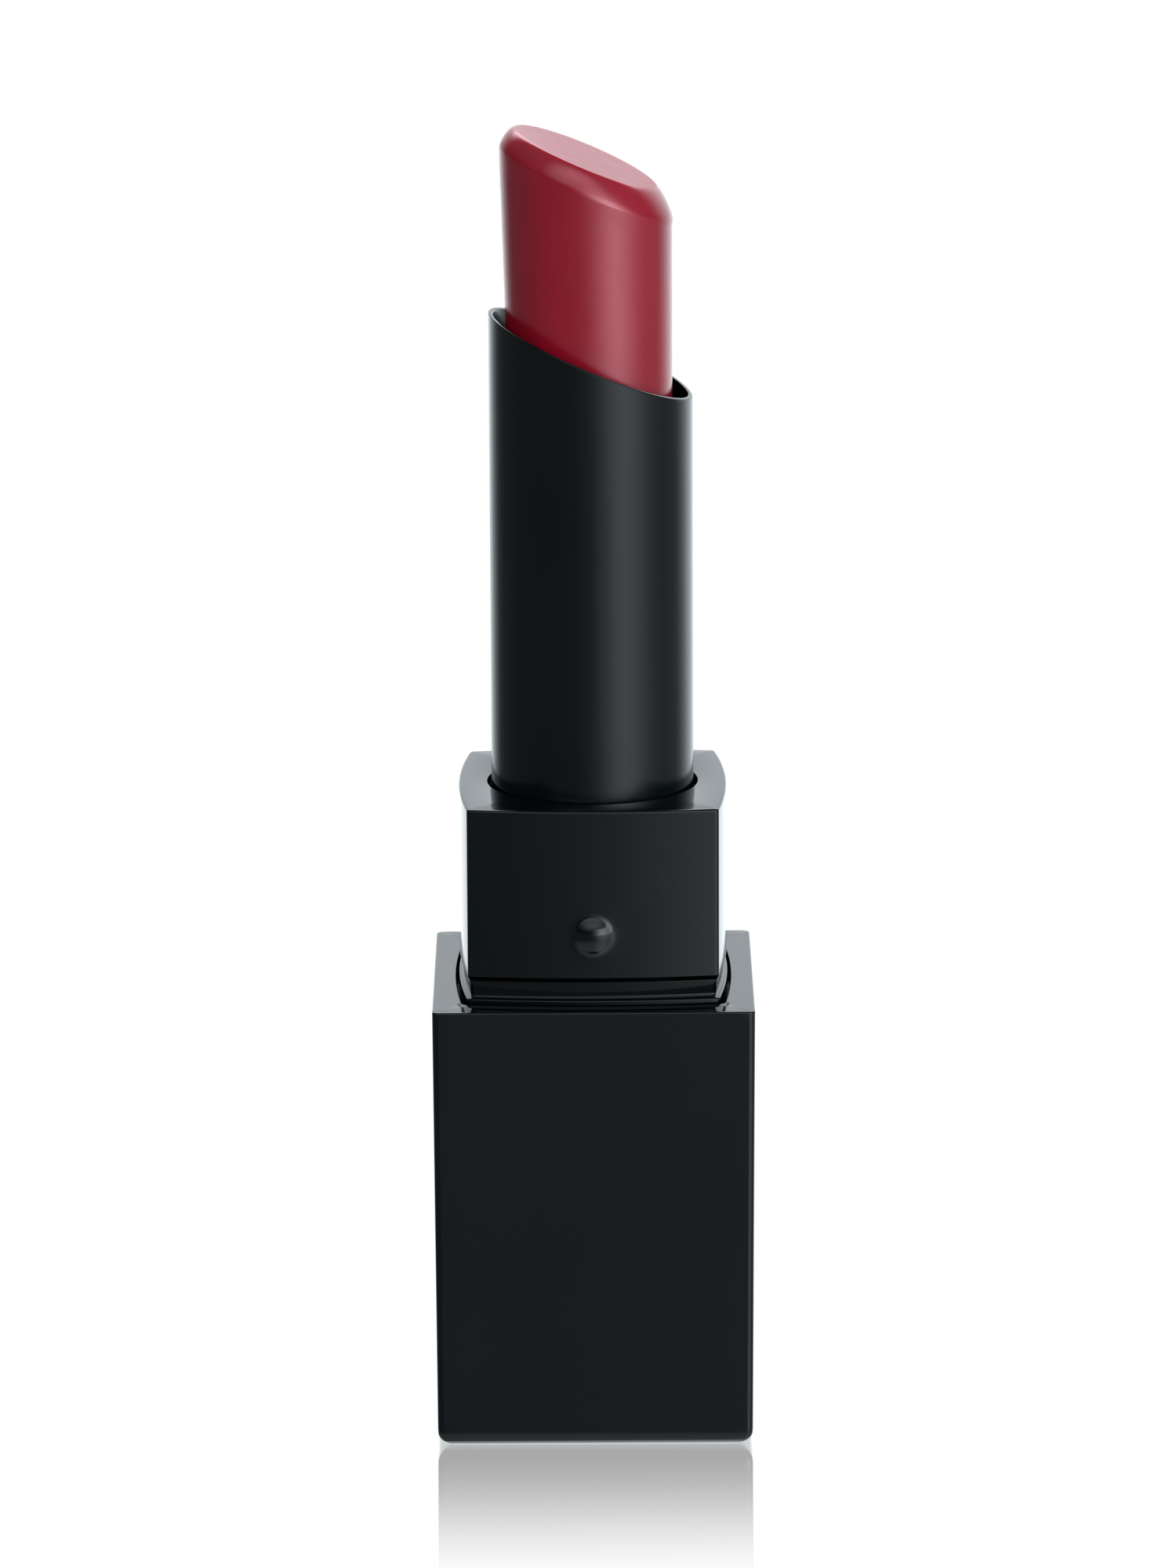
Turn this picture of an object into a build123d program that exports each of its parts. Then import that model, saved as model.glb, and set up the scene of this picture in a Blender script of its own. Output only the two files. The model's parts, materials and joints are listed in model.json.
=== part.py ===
"""A square twist-up lipstick case, open, with the bullet raised to its top stop.

Millimetres, +Z up. The origin is the centre of the base's foot, the turning axis is Z, and the front
face looks along -Y. Holding the collar and turning the base drives the carrier along two helical grooves.
"""

from build123d import *

import math
import os

# Base: a drafted square shell, open at the top, with a pillow-shaped mouth
BASE_TOP = 20.6
BASE_FOOT = 20.3
BASE_HEIGHT = 29.1
BASE_FLOOR = 2.0
BASE_EDGE = 0.45
FOOT_RADIUS = 1.0
RIM_RADIUS = 0.14
MOUTH_HALF = 8.4
MOUTH_BULGE = 0.5
MOUTH_CORNER = 0.7

# Label and its recess under the foot
LABEL_RECESS = 13.0
LABEL_SIZE = 12.6
LABEL_CORNER = 1.2
LABEL_DEPTH = 0.25
LABEL_THICKNESS = 0.12

# Steel weight and the foam pad under it
PAD_TOP = 2.4
WEIGHT_TOP = 10.4
WEIGHT_SIZE = 15.6
WEIGHT_CORNER = 1.4

# Core: the moulded insert of the base, which ends in the neck under the collar
CORE_GAP = 0.05
CORE_SHOULDER = 27.8
FLANGE_HALF = 8.05
FLANGE_TOP = 29.45
NECK_HALF = 7.9
NECK_TOP = 30.68
NECK_BULGE = 0.6
CORE_BORE = 6.05
CORE_SEAT = 7.15
CORE_SEAT_TOP = 14.2
CORE_POCKET_TOP = 25.6
CORE_POCKET_ROUND = 8.3

# Collar: the pillow-shaped shell that the cap slides over
COLLAR_HALF = 8.0
COLLAR_BULGE = 0.62
COLLAR_CORNER = 0.28
COLLAR_FOOT = 30.88
COLLAR_TOP = 41.85
COLLAR_WALL = 0.9
COLLAR_PLATE = 1.3
COLLAR_HOLE = 6.7
COLLAR_EDGE = 0.16
PIP_HEIGHT_UP = 33.65
PIP_RADIUS = 1.3
PIP_PROUD = 0.45
PIP_FOOT_RADIUS = 0.25

# Turn body inside the collar, and the washer it turns on
TURN_GAP = 0.05
TURN_FOOT = 31.0
TURN_TOP = 40.5
TURN_LEDGE_TOP = 32.6
TURN_BORE = 6.15
TURN_POCKET_TOP = 39.0
TURN_POCKET_ROUND = 7.4
WASHER_OUTER = 7.0
WASHER_INNER = 6.3
WASHER_THICKNESS = 0.3

# Slanted tube: high on the left, low on the right
SLANT_DEG = 23.0
TUBE_OUTER = 6.5
TUBE_INNER = 6.2
TUBE_RIM_CENTRE = 69.8
TUBE_RIM_RADIUS = 0.1

# Helix sleeve and its friction ring
LEAD = 11.52
SLEEVE_OUTER = 6.0
SLEEVE_INNER = 4.4
SLEEVE_FOOT = 12.8
SLEEVE_TOP = 38.6
SLEEVE_FLANGE = 7.05
SLEEVE_FLANGE_TOP = 14.15
KEY_REACH = 7.7
KEY_WIDTH = 2.0
KEY_GAP = 0.1
GROOVE_FLOOR = 5.2
GROOVE_HEIGHT = 1.71
GROOVE_FOOT = 20.0
GROOVE_TOP = 36.8
RING_UP = 31.8
RING_MAJOR = 5.88
RING_MINOR = 0.25
RING_GROOVE_FLOOR = 5.62
RING_GROOVE_HEIGHT = 0.7

# Guide tube with two straight slots, and the clip that keeps it in the sleeve
GUIDE_OUTER = 4.25
GUIDE_INNER = 3.45
GUIDE_FOOT = 11.5
GUIDE_FLANGE = 6.18
GUIDE_FLANGE_FOOT = 39.2
GUIDE_TOP = 41.2
SLOT_WIDTH = 1.5
SLOT_END_GAP = 0.15
CLIP_UP = 12.35
CLIP_THICKNESS = 0.6
CLIP_OUTER = 5.3
CLIP_MOUTH = 3.4
CLIP_GROOVE_FLOOR = 3.95
CLIP_GAP = 0.03

# Carrier: the cup, its stem and the two lugs that ride in the grooves
TRAVEL = 14.4
LUG_UP = 35.6
LUG_RADIUS = 0.65
LUG_REACH = 5.05
STEM_OUTER = 3.3
STEM_INNER = 2.4
STEM_FOOT = 34.4
CUP_FOOT = 56.4
CUP_FLOOR = 57.4
CUP_TOP = 64.8
CUP_OUTER = 5.9
CUP_EDGE = 0.15
CUP_RIB_WIDTH = 0.6
CUP_RIB_REACH = 0.55

# Bullet: a slightly flared wax stick with a slanted, bevelled end
BULLET_ROOT = 5.2
BULLET_HEAD = 5.47
BULLET_CENTRE = 82.5
BULLET_FLARE_TOP = 81.8
BEVEL_ON_FACET = 1.2
BEVEL_ON_WALL = 1.55

BASE_DRAFT = math.degrees(math.atan((BASE_TOP - BASE_FOOT) / 2 / BASE_HEIGHT))
RISE = math.tan(math.radians(SLANT_DEG))
ABOVE_ALL = 95.0


def pillow(half, bulge, corner):
    """A square outline with four gently bulging sides: corners at +-half, mid-sides at half + bulge."""
    with BuildSketch() as outline:
        with BuildLine():
            ThreePointArc((half, -half), (half + bulge, 0), (half, half))
            ThreePointArc((half, half), (0, half + bulge), (-half, half))
            ThreePointArc((-half, half), (-half - bulge, 0), (-half, -half))
            ThreePointArc((-half, -half), (0, -half - bulge), (half, -half))
        make_face()
        fillet(outline.vertices(), corner)
    return outline.sketch


def corner_pockets(half, bulge, corner, round_radius):
    """The four corner areas that lie inside a pillow outline and outside a circle."""
    with BuildSketch() as areas:
        add(pillow(half, bulge, corner))
        Circle(round_radius, mode=Mode.SUBTRACT)
    return areas.sketch


def save(block, name):
    """Labels the finished piece and writes it as its own STEP file."""
    block.part.label = name
    export_step(block.part, f"parts/{name}.step")


def ends_of(block, height):
    """The edges of the part that lie flat at one height."""
    return block.edges().filter_by_position(Axis.Z, height - 0.001, height + 0.001)


def slant_plane(centre_height):
    """The slanted plane through the axis at centre_height, which falls towards +X."""
    return Plane(origin=(0, 0, centre_height), x_dir=(1, 0, -RISE), z_dir=(RISE, 0, 1))


def make_base_shell():
    with BuildPart() as base_shell:
        with BuildSketch(Plane.XY.offset(BASE_HEIGHT)):
            Rectangle(BASE_TOP, BASE_TOP)
        extrude(amount=-BASE_HEIGHT, taper=BASE_DRAFT)
        fillet(ends_of(base_shell, 0), FOOT_RADIUS)
        upright = base_shell.edges().filter_by(lambda edge: abs(edge.tangent_at(0.5).Z) > 0.6)
        fillet(upright, BASE_EDGE)
        with BuildSketch(Plane.XY.offset(BASE_FLOOR)):
            add(pillow(MOUTH_HALF, MOUTH_BULGE, MOUTH_CORNER))
        extrude(amount=BASE_HEIGHT - BASE_FLOOR, mode=Mode.SUBTRACT)
        fillet(ends_of(base_shell, BASE_HEIGHT), RIM_RADIUS)
        with BuildSketch(Plane.XY):
            RectangleRounded(LABEL_RECESS, LABEL_RECESS, LABEL_CORNER)
        extrude(amount=LABEL_DEPTH, mode=Mode.SUBTRACT)
    save(base_shell, "base_shell")


def make_shade_label():
    with BuildPart() as shade_label:
        with BuildSketch(Plane.XY.offset(LABEL_DEPTH - LABEL_THICKNESS)):
            RectangleRounded(LABEL_SIZE, LABEL_SIZE, LABEL_CORNER - (LABEL_RECESS - LABEL_SIZE) / 2)
        extrude(amount=LABEL_THICKNESS)
    save(shade_label, "shade_label")


def make_weight_pad():
    with BuildPart() as weight_pad:
        with BuildSketch(Plane.XY.offset(BASE_FLOOR)):
            RectangleRounded(WEIGHT_SIZE - 1, WEIGHT_SIZE - 1, WEIGHT_CORNER)
        extrude(amount=PAD_TOP - BASE_FLOOR)
    save(weight_pad, "weight_pad")


def make_base_weight():
    with BuildPart() as base_weight:
        with BuildSketch(Plane.XY.offset(PAD_TOP)):
            RectangleRounded(WEIGHT_SIZE, WEIGHT_SIZE, WEIGHT_CORNER)
        extrude(amount=WEIGHT_TOP - PAD_TOP)
        chamfer(ends_of(base_weight, WEIGHT_TOP) + ends_of(base_weight, PAD_TOP), 0.4)
    save(base_weight, "base_weight")


def make_base_core():
    half = MOUTH_HALF - CORE_GAP
    with BuildPart() as base_core:
        with BuildSketch(Plane.XY.offset(WEIGHT_TOP)):
            add(pillow(half, MOUTH_BULGE, MOUTH_CORNER))
        extrude(amount=CORE_SHOULDER - WEIGHT_TOP)
        with BuildSketch(Plane.XY.offset(CORE_SHOULDER)):
            add(pillow(FLANGE_HALF, COLLAR_BULGE, COLLAR_CORNER))
        extrude(amount=FLANGE_TOP - CORE_SHOULDER)
        fillet(ends_of(base_core, FLANGE_TOP), RIM_RADIUS)
        with BuildSketch(Plane.XY.offset(FLANGE_TOP - 0.5)):
            add(pillow(NECK_HALF, NECK_BULGE, COLLAR_CORNER))
        extrude(amount=NECK_TOP - FLANGE_TOP + 0.5)
        with BuildSketch(Plane.XY.offset(WEIGHT_TOP)):
            Circle(CORE_BORE)
        extrude(amount=NECK_TOP - WEIGHT_TOP, mode=Mode.SUBTRACT)
        with BuildSketch(Plane.XY.offset(WEIGHT_TOP)):
            Circle(CORE_SEAT)
            Rectangle(2 * (KEY_REACH + KEY_GAP), KEY_WIDTH + 2 * KEY_GAP)
        extrude(amount=CORE_SEAT_TOP - WEIGHT_TOP, mode=Mode.SUBTRACT)
        with BuildSketch(Plane.XY.offset(WEIGHT_TOP)):
            add(corner_pockets(half - 0.9, MOUTH_BULGE, MOUTH_CORNER, CORE_POCKET_ROUND))
        extrude(amount=CORE_POCKET_TOP - WEIGHT_TOP, mode=Mode.SUBTRACT)
    save(base_core, "base_core")


def make_thrust_washer():
    with BuildPart() as thrust_washer:
        with BuildSketch(Plane.XY.offset(NECK_TOP)):
            Circle(WASHER_OUTER)
            Circle(WASHER_INNER, mode=Mode.SUBTRACT)
        extrude(amount=WASHER_THICKNESS)
    save(thrust_washer, "thrust_washer")


def helix_groove():
    """One groove's volume: a radial rectangle swept up a right-handed helix about the Z axis.

    It starts on the +X side at z = 0; the caller turns and lifts it into place.
    """
    inside = SLEEVE_INNER - 0.4
    with BuildPart() as groove:
        with BuildLine() as path:
            Helix(pitch=LEAD, height=GROOVE_TOP - GROOVE_FOOT, radius=GROOVE_FLOOR)
        with BuildSketch(Plane.XZ):
            with Locations(((inside + GROOVE_FLOOR) / 2, 0)):
                Rectangle(GROOVE_FLOOR - inside, GROOVE_HEIGHT)
        sweep(path=path.line, is_frenet=True)
    return groove.part


def make_helix_sleeve():
    start_turn = 90 - 360 * (LUG_UP - GROOVE_FOOT) / LEAD
    groove = helix_groove()
    with BuildPart() as helix_sleeve:
        with BuildSketch(Plane.XY.offset(SLEEVE_FOOT)):
            Circle(SLEEVE_OUTER)
        extrude(amount=SLEEVE_TOP - SLEEVE_FOOT)
        with BuildSketch(Plane.XY.offset(SLEEVE_FOOT)):
            Circle(SLEEVE_FLANGE)
            Rectangle(2 * KEY_REACH, KEY_WIDTH)
        extrude(amount=SLEEVE_FLANGE_TOP - SLEEVE_FOOT)
        chamfer(ends_of(helix_sleeve, SLEEVE_TOP), 0.3)
        with BuildSketch(Plane.XY.offset(SLEEVE_FOOT)):
            Circle(SLEEVE_INNER)
        extrude(amount=SLEEVE_TOP - SLEEVE_FOOT, mode=Mode.SUBTRACT)
        with BuildSketch(Plane.XY.offset(RING_UP - RING_GROOVE_HEIGHT / 2)):
            Circle(SLEEVE_OUTER + 1)
            Circle(RING_GROOVE_FLOOR, mode=Mode.SUBTRACT)
        extrude(amount=RING_GROOVE_HEIGHT, mode=Mode.SUBTRACT)
        for turn in (0, 180):
            with Locations(Location((0, 0, GROOVE_FOOT), (0, 0, start_turn + turn))):
                add(groove, mode=Mode.SUBTRACT)
    save(helix_sleeve, "helix_sleeve")


def make_friction_ring():
    with BuildPart() as friction_ring:
        with BuildSketch(Plane.XZ):
            with Locations((RING_MAJOR, RING_UP)):
                Circle(RING_MINOR)
        revolve(axis=Axis.Z)
    save(friction_ring, "friction_ring")


def make_collar_shell():
    sphere_radius = (PIP_RADIUS**2 + PIP_PROUD**2) / (2 * PIP_PROUD)
    sphere_out = COLLAR_HALF + COLLAR_BULGE + PIP_PROUD - sphere_radius
    with BuildPart() as collar_shell:
        with BuildSketch(Plane.XY.offset(COLLAR_FOOT)):
            add(pillow(COLLAR_HALF, COLLAR_BULGE, COLLAR_CORNER))
        extrude(amount=COLLAR_TOP - COLLAR_FOOT)
        with Locations((0, -sphere_out, PIP_HEIGHT_UP), (0, sphere_out, PIP_HEIGHT_UP)):
            Sphere(sphere_radius)
        pip_feet = collar_shell.edges().filter_by(
            lambda edge: abs(edge.center().Z - PIP_HEIGHT_UP) < 0.5 and edge.length < 3 * math.pi * PIP_RADIUS
        )
        fillet(pip_feet, PIP_FOOT_RADIUS)
        fillet(ends_of(collar_shell, COLLAR_TOP), COLLAR_EDGE)
        with BuildSketch(Plane.XY.offset(COLLAR_FOOT)):
            add(pillow(COLLAR_HALF - COLLAR_WALL, COLLAR_BULGE, COLLAR_CORNER))
        extrude(amount=COLLAR_TOP - COLLAR_PLATE - COLLAR_FOOT, mode=Mode.SUBTRACT)
        with BuildSketch(Plane.XY.offset(COLLAR_FOOT)):
            Circle(COLLAR_HOLE)
        extrude(amount=COLLAR_TOP - COLLAR_FOOT, mode=Mode.SUBTRACT)
    save(collar_shell, "collar_shell")


def make_turn_body():
    half = COLLAR_HALF - COLLAR_WALL - TURN_GAP
    with BuildPart() as turn_body:
        with BuildSketch(Plane.XY.offset(TURN_FOOT)):
            add(pillow(half, COLLAR_BULGE, COLLAR_CORNER))
        extrude(amount=TURN_TOP - TURN_FOOT)
        with BuildSketch(Plane.XY.offset(TURN_FOOT)):
            Circle(TURN_BORE)
        extrude(amount=TURN_TOP - TURN_FOOT, mode=Mode.SUBTRACT)
        with BuildSketch(Plane.XY.offset(TURN_LEDGE_TOP)):
            Circle(TUBE_OUTER)
        extrude(amount=TURN_TOP - TURN_LEDGE_TOP, mode=Mode.SUBTRACT)
        with BuildSketch(Plane.XY.offset(TURN_FOOT)):
            add(corner_pockets(half - 0.75, COLLAR_BULGE, COLLAR_CORNER, TURN_POCKET_ROUND))
        extrude(amount=TURN_POCKET_TOP - TURN_FOOT, mode=Mode.SUBTRACT)
    save(turn_body, "turn_body")


def make_slant_tube():
    with BuildPart() as slant_tube:
        with BuildSketch(Plane.XY.offset(TURN_LEDGE_TOP)):
            Circle(TUBE_OUTER)
            Circle(TUBE_INNER, mode=Mode.SUBTRACT)
        extrude(amount=ABOVE_ALL - TURN_LEDGE_TOP)
        split(bisect_by=slant_plane(TUBE_RIM_CENTRE), keep=Keep.BOTTOM)
        rim = slant_tube.edges().filter_by(lambda edge: edge.center().Z > TUBE_RIM_CENTRE - 1)
        fillet(rim, TUBE_RIM_RADIUS)
    save(slant_tube, "slant_tube")


def make_guide_tube():
    slot_foot = LUG_UP - TRAVEL - LUG_RADIUS - SLOT_END_GAP
    slot_top = LUG_UP + LUG_RADIUS + SLOT_END_GAP
    with BuildPart() as guide_tube:
        with BuildSketch(Plane.XY.offset(GUIDE_FOOT)):
            Circle(GUIDE_OUTER)
        extrude(amount=GUIDE_TOP - GUIDE_FOOT)
        with BuildSketch(Plane.XY.offset(GUIDE_FLANGE_FOOT)):
            Circle(GUIDE_FLANGE)
        extrude(amount=GUIDE_TOP - GUIDE_FLANGE_FOOT)
        with BuildSketch(Plane.XY.offset(GUIDE_FOOT)):
            Circle(GUIDE_INNER)
        extrude(amount=GUIDE_TOP - GUIDE_FOOT, mode=Mode.SUBTRACT)
        with BuildSketch(Plane.XZ):
            with Locations((0, (slot_foot + slot_top) / 2)):
                SlotOverall(slot_top - slot_foot, SLOT_WIDTH, rotation=90)
        extrude(amount=GUIDE_OUTER + 1, both=True, mode=Mode.SUBTRACT)
        with BuildSketch(Plane.XY.offset(CLIP_UP - CLIP_THICKNESS / 2 - CLIP_GAP)):
            Circle(GUIDE_OUTER + 1)
            Circle(CLIP_GROOVE_FLOOR, mode=Mode.SUBTRACT)
        extrude(amount=CLIP_THICKNESS + 2 * CLIP_GAP, mode=Mode.SUBTRACT)
    save(guide_tube, "guide_tube")


def make_retaining_clip():
    with BuildPart() as retaining_clip:
        with BuildSketch(Plane.XY.offset(CLIP_UP - CLIP_THICKNESS / 2)):
            Circle(CLIP_OUTER)
            Circle(CLIP_GROOVE_FLOOR + CLIP_GAP, mode=Mode.SUBTRACT)
            with Locations((CLIP_OUTER, 0)):
                Rectangle(2 * CLIP_OUTER, CLIP_MOUTH, mode=Mode.SUBTRACT)
        extrude(amount=CLIP_THICKNESS)
    save(retaining_clip, "retaining_clip")


def make_bullet_cup():
    with BuildPart() as bullet_cup:
        with BuildSketch(Plane.XY.offset(STEM_FOOT)):
            Circle(STEM_OUTER)
        extrude(amount=CUP_FOOT - STEM_FOOT)
        with BuildSketch(Plane.XZ):
            with Locations((0, LUG_UP)):
                Circle(LUG_RADIUS)
        extrude(amount=LUG_REACH, both=True)
        with BuildSketch(Plane.XY.offset(CUP_FOOT)):
            Circle(CUP_OUTER)
        extrude(amount=CUP_TOP - CUP_FOOT)
        fillet(ends_of(bullet_cup, CUP_TOP), CUP_EDGE)
        with BuildSketch(Plane.XY.offset(CUP_FLOOR)):
            Circle(BULLET_ROOT)
            with PolarLocations(BULLET_ROOT, 4, start_angle=45):
                Rectangle(2 * CUP_RIB_REACH, CUP_RIB_WIDTH, mode=Mode.SUBTRACT)
        extrude(amount=CUP_TOP - CUP_FLOOR, mode=Mode.SUBTRACT)
        with BuildSketch(Plane.XY.offset(STEM_FOOT)):
            Circle(STEM_INNER)
        extrude(amount=CUP_FOOT - 1 - STEM_FOOT, mode=Mode.SUBTRACT)
    save(bullet_cup, "bullet_cup")


def make_lipstick_bullet():
    with BuildPart() as lipstick_bullet:
        with BuildSketch(Plane.XZ):
            with BuildLine():
                Polyline(
                    (0, CUP_FLOOR),
                    (BULLET_ROOT, CUP_FLOOR),
                    (BULLET_ROOT, CUP_TOP),
                    (BULLET_HEAD, BULLET_FLARE_TOP),
                    (BULLET_HEAD, ABOVE_ALL),
                    (0, ABOVE_ALL),
                    close=True,
                )
            make_face()
        revolve(axis=Axis.Z)
        split(bisect_by=slant_plane(BULLET_CENTRE), keep=Keep.BOTTOM)
        with BuildSketch(Plane.XY.offset(CUP_FLOOR)):
            with PolarLocations(BULLET_ROOT, 4, start_angle=45):
                Rectangle(2 * CUP_RIB_REACH, CUP_RIB_WIDTH)
        extrude(amount=CUP_TOP - CUP_FLOOR, mode=Mode.SUBTRACT)
        facet = lipstick_bullet.faces().sort_by(Axis.Z)[-1]
        chamfer(facet.edges(), BEVEL_ON_FACET, BEVEL_ON_WALL, reference=facet)
    save(lipstick_bullet, "lipstick_bullet")


os.makedirs("parts", exist_ok=True)
make_base_shell()
make_shade_label()
make_weight_pad()
make_base_weight()
make_base_core()
make_thrust_washer()
make_helix_sleeve()
make_friction_ring()
make_collar_shell()
make_turn_body()
make_slant_tube()
make_guide_tube()
make_retaining_clip()
make_bullet_cup()
make_lipstick_bullet()
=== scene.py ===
"""A square twist-up lipstick case with its bullet raised, on a white glossy studio floor.

Lengths are in metres in the CAD's frame: +Z is up, the front face looks along -Y and the foot is at
z = 0. The pieces that show are rebuilt as fine meshes around the CAD's own sizes, and the mechanism
inside stays as the CAD has it.
"""

import json
import math

import bpy
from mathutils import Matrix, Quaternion, Vector


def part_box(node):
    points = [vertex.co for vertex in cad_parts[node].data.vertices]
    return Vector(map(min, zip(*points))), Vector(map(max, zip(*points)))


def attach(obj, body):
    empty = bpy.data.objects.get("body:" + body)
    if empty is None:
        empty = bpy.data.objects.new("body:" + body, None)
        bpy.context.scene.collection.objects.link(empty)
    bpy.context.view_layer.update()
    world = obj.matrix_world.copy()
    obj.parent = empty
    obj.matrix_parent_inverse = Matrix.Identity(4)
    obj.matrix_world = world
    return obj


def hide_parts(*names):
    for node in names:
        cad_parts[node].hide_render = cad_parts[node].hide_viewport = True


MM = 0.001

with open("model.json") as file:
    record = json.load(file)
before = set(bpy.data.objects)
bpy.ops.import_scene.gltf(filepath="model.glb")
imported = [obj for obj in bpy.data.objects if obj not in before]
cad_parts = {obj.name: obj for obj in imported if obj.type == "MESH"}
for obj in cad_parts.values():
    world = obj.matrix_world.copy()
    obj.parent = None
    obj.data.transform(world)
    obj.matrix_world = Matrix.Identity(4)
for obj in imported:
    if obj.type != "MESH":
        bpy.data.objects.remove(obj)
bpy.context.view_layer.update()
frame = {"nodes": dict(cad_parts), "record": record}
nodes = frame["nodes"]

# Sizes that the CAD's boxes give
BASE_LOW, BASE_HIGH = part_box("base_shell")
COLLAR_LOW, COLLAR_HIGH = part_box("collar_shell")
TUBE_LOW, TUBE_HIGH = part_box("slant_tube")
BULLET_LOW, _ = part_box("lipstick_bullet")
_, CUP_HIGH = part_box("bullet_cup")
CORE_LOW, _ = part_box("base_core")

# Base shell; shares and rows are heights of the rings that carry its shape
BASE_HALF = BASE_HIGH.x
FOOT_HALF = BASE_HALF - 0.15 * MM
FOOT_RADIUS = 1.05 * MM
FOOT_FLAT_INSET = 1.3 * FOOT_RADIUS
BASE_CORNER = 0.42 * MM
WALL_SHARES = (0.006, 0.02, 0.1, 0.3, 0.5, 0.7, 0.9, 0.98, 0.994)
RIM_RADIUS = 0.13 * MM
MOUTH_EDGE = 0.03 * MM
MOUTH_HALF = 8.4 * MM
MOUTH_BULGE = 0.5 * MM
MOUTH_CORNER = 0.7 * MM
MOUTH_DROP = 3 * MM
BASE_FLOOR = 2.0 * MM
RECESS_HALF = 6.5 * MM
RECESS_CORNER = 1.2 * MM
RECESS_DEPTH = 0.25 * MM
RECESS_EDGE = 0.03 * MM
RECESS_ROWS = (RECESS_DEPTH, 0.05 * MM, 0.02 * MM)

# Core: its flange in the mouth, its neck under the collar and the riser that keeps light out of the
# gap between them
CORE_GAP = 0.05 * MM
CORE_ROWS = 6
SHOULDER = 27.8 * MM
FLANGE_HALF = 8.05 * MM
FLANGE_BAND = 0.6 * MM
FLANGE_TOP = 29.45 * MM
FLANGE_EDGE = 0.13 * MM
NECK_HALF = 7.9 * MM
NECK_BULGE = 0.6 * MM
NECK_EDGE = 0.005 * MM
NECK_TOP = 30.6 * MM
NECK_UNDERCUT = 0.1 * MM
NECK_SHARES = (0.0, 0.25, 0.5, 0.75, 0.9)
CORE_RISER_RADIUS = 7.0 * MM
CORE_RISER_TOP = 30.96 * MM
CORE_BORE = 6.05 * MM

# Collar shell and its two snap pips; rows lie close together where the pips are
COLLAR_HALF = 8.0 * MM
COLLAR_BULGE = COLLAR_HIGH.x - COLLAR_HALF
COLLAR_CORNER = 0.28 * MM
COLLAR_EDGE = 0.17 * MM
COLLAR_FOOT_EDGE = 0.03 * MM
COLLAR_WALL = 0.9 * MM
COLLAR_PLATE = 1.3 * MM
COLLAR_FOOT_ROWS = (0.09 * MM, 0.2 * MM, 0.4 * MM)
COLLAR_TOP_ROWS = (0.2 * MM, 0.05 * MM)
COLLAR_TOP_CLEAR = 0.3 * MM
COLLAR_ROW = 0.8 * MM
HOLE_RADIUS = 6.78 * MM
HOLE_EDGE = 0.05 * MM
PIP_HEIGHT = 33.65 * MM
PIP_RADIUS = 1.2 * MM
PIP_REACH = 1.8 * PIP_RADIUS
PIP_PROUD = 0.43 * MM
PIP_SOFTNESS = 0.15 * MM
PIP_ROW = 0.1 * MM
PIP_ROWS_START = 0.6 * MM
PIP_ROWS_ABOVE = 2.2 * MM

# Slanted tube
TUBE_OUTER = TUBE_HIGH.x
TUBE_INNER = 6.2 * MM
TUBE_EDGE = 0.1 * MM
TUBE_ROW = 4 * MM
TUBE_ROWS = 9
SLANT = math.tan(math.radians(23.0))
RIM_CENTRE = 69.8 * MM

# Bullet; bevel points are (share inwards, share upwards) from the wall to the facet
BULLET_ROOT = 5.2 * MM
BULLET_HEAD = 5.47 * MM
BULLET_LEAN = -0.25 * MM
BULLET_ROWS = 24
FLARE_TOP = 81.8 * MM
FACET_CENTRE = 82.5 * MM
FACET_HALF_X = 4.5 * MM
FACET_HALF_Y = 4.9 * MM
FACET_SHARES = (0.97, 0.9, 0.7, 0.4, 0.1)
BEVEL_DROP = 1.55 * MM
BEVEL_START = (0.0, -0.12)
BEVEL_CROWN = (0.41, 0.59)
BEVEL_END = (1.2, 1.0)
BEVEL_FOOT_SHARE = 0.3
BEVEL_HEAD_SHARE = 0.6
BEVEL_STEPS = 6

ROUND_POINTS = 256
TURNS = [2 * math.pi * i / ROUND_POINTS for i in range(ROUND_POINTS)]


# ---------------------------------------------------------------- outlines and lofted meshes


def quarter(half, bulge, corner, side_points, corner_points):
    """The right-hand quarter of a square outline, counter-clockwise, as (x, y) pairs.

    Its side runs straight, or bulges outwards in an arc.
    """
    if bulge > 0:
        radius = (half * half + bulge * bulge) / (2 * bulge)
        centre = half + bulge - radius
        reach = radius - corner
        knee = (centre + math.sqrt(2 * reach * reach - centre * centre)) / 2
        swing = math.atan2(knee, knee - centre)
    else:
        knee = half - corner
        swing = 0.0
    points = []
    for i in range(side_points):
        along = 2 * i / side_points - 1
        if bulge > 0:
            angle = swing * along
            points.append((centre + radius * math.cos(angle), radius * math.sin(angle)))
        else:
            points.append((half, knee * along))
    for i in range(corner_points):
        angle = swing + (math.pi / 2 - 2 * swing) * i / corner_points
        points.append((knee + corner * math.cos(angle), knee + corner * math.sin(angle)))
    return points


def square_ring(half, bulge, corner, height, side_points, corner_points):
    """A whole square outline at one height, as (x, y, z) points."""
    right = quarter(half, bulge, corner, side_points, corner_points)
    ring = []
    for turn in range(4):
        for x, y in right:
            for _ in range(turn):
                x, y = -y, x
            ring.append((x, y, height))
    return ring


def as_circle(ring, radius, height):
    """The points of a ring moved radially onto a circle at one height."""
    circle = []
    for x, y, _ in ring:
        away = math.hypot(x, y)
        circle.append((x * radius / away, y * radius / away, height))
    return circle


def rows(first, last, count):
    """Evenly spaced heights from the first to the last, both included."""
    return [first + i / count * (last - first) for i in range(count + 1)]


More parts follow.
